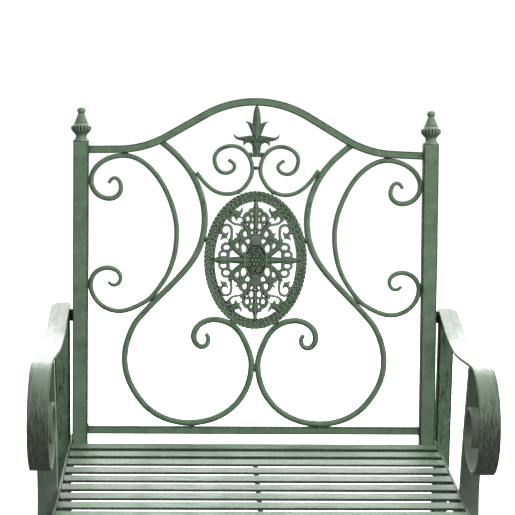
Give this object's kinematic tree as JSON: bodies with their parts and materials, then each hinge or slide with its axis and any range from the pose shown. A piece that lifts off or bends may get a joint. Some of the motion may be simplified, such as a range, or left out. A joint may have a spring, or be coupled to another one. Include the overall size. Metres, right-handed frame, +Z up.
{
  "type": "garden bench",
  "caption": "Single-seat garden bench of green iron: raked scrollwork back with an oval medallion, rolled flat-bar arms and a slatted seat.",
  "frame": {"origin": "on the floor, in the middle of the bench's outline", "axes": "+Z up, -Y to the front, +X to the right as seen from the front"},
  "size_m": [0.6962, 0.5446, 1.007],
  "materials": {
    "green_iron": "antiqued green paint, satin",
    "green_casting": "cast iron under antiqued green paint",
    "black_plastic": "black moulded",
    "black_rubber": "black",
    "zinc_steel": "zinc plated"
  },
  "bodies": {
    "root": {"left_back_post": "green_iron", "left_lyre_scroll": "green_iron", "left_side_scroll": "green_iron", "left_crown_scroll": "green_iron", "left_rear_leg": "green_iron", "left_arm": "green_iron", "left_front_leg": "green_iron", "left_side_rail": "green_iron", "left_stretcher": "green_iron", "left_seat_bar": "green_iron", "left_finial": "green_casting", "left_post_plug": "black_plastic", "left_spacer": "black_plastic", "left_rear_foot": "black_rubber", "left_front_pad": "black_rubber", "left_arm_bolt": "zinc_steel", "left_back_bolt": "zinc_steel", "left_front_seat_bolt": "zinc_steel", "left_rear_seat_bolt": "zinc_steel", "left_front_cap_nut": "zinc_steel", "left_rear_cap_nut": "zinc_steel", "right_back_post": "green_iron", "right_lyre_scroll": "green_iron", "right_side_scroll": "green_iron", "right_crown_scroll": "green_iron", "right_rear_leg": "green_iron", "right_arm": "green_iron", "right_front_leg": "green_iron", "right_side_rail": "green_iron", "right_stretcher": "green_iron", "right_seat_bar": "green_iron", "right_finial": "green_casting", "right_post_plug": "black_plastic", "right_spacer": "black_plastic", "right_rear_foot": "black_rubber", "right_front_pad": "black_rubber", "right_arm_bolt": "zinc_steel", "right_back_bolt": "zinc_steel", "right_front_seat_bolt": "zinc_steel", "right_rear_seat_bolt": "zinc_steel", "right_front_cap_nut": "zinc_steel", "right_rear_cap_nut": "zinc_steel", "top_rail": "green_iron", "bottom_rail": "green_iron", "seat_front_rail": "green_iron", "seat_rear_rail": "green_iron", "seat_centre_bar": "green_iron", "seat_slat_1": "green_iron", "seat_slat_2": "green_iron", "seat_slat_3": "green_iron", "seat_slat_4": "green_iron", "seat_slat_5": "green_iron", "seat_slat_6": "green_iron", "seat_slat_7": "green_iron", "seat_slat_8": "green_iron", "seat_slat_9": "green_iron", "cast_medallion": "green_casting", "fleur_de_lis": "green_casting"}
  },
  "joints": []
}
